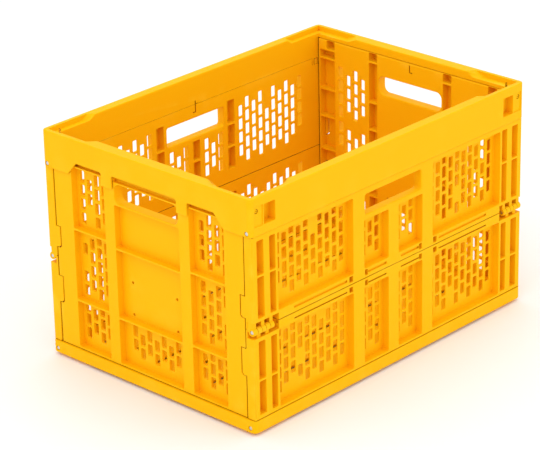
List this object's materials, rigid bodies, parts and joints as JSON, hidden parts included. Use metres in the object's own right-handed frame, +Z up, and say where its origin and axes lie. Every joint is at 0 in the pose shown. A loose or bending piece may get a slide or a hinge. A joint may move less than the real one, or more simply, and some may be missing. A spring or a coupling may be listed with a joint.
{
  "type": "folding crate",
  "caption": "Rectangular folding mesh crate of moulded plastic: a rim frame and a base tray joined by hinged long sides, with hinged end panels that swing inwards and up.",
  "frame": {"origin": "centre of the footprint, on the ground under the corner feet", "axes": "+Z up, +X along the long side from the front end panel to the rear one, +Y towards the left long side"},
  "size_m": [0.53, 0.366, 0.318],
  "materials": {
    "frame_plastic": "moulded polypropylene, satin, warm yellow",
    "base_plastic": "moulded polypropylene, satin, warm yellow",
    "panel_plastic": "moulded polypropylene, satin, warm yellow",
    "pivot_plastic": "moulded polypropylene, satin, warm yellow",
    "pin_steel": "drawn steel rod, cut ends"
  },
  "bodies": {
    "crate_body": {"top_frame": "frame_plastic", "base_tray": "base_plastic", "side_right_upper": "panel_plastic", "side_right_lower": "panel_plastic", "side_left_upper": "panel_plastic", "side_left_lower": "panel_plastic", "top_hinge_pin_right_front": "pin_steel", "top_hinge_pin_right_rear": "pin_steel", "top_hinge_pin_left_front": "pin_steel", "top_hinge_pin_left_rear": "pin_steel", "mid_hinge_pin_right_front": "pin_steel", "mid_hinge_pin_right_rear": "pin_steel", "mid_hinge_pin_left_front": "pin_steel", "mid_hinge_pin_left_rear": "pin_steel", "base_hinge_pin_right_front": "pin_steel", "base_hinge_pin_right_rear": "pin_steel", "base_hinge_pin_left_front": "pin_steel", "base_hinge_pin_left_rear": "pin_steel", "end_pivot_pin_right_front": "pivot_plastic", "end_pivot_pin_right_rear": "pivot_plastic", "end_pivot_pin_left_front": "pivot_plastic", "end_pivot_pin_left_rear": "pivot_plastic"},
    "end_panel_front": {"end_panel_front": "panel_plastic"},
    "end_panel_rear": {"end_panel_rear": "panel_plastic"}
  },
  "joints": [
    {"name": "end_panel_front_swing", "type": "hinge", "parent": "crate_body", "child": "end_panel_front", "pos_m": [-0.253, 0, 0.3], "axis": [0, -1, 0], "range_deg": [0, 91.2]},
    {"name": "end_panel_rear_swing", "type": "hinge", "parent": "crate_body", "child": "end_panel_rear", "pos_m": [0.253, 0, 0.3], "axis": [0, 1, 0], "range_deg": [0, 86.5]}
  ]
}
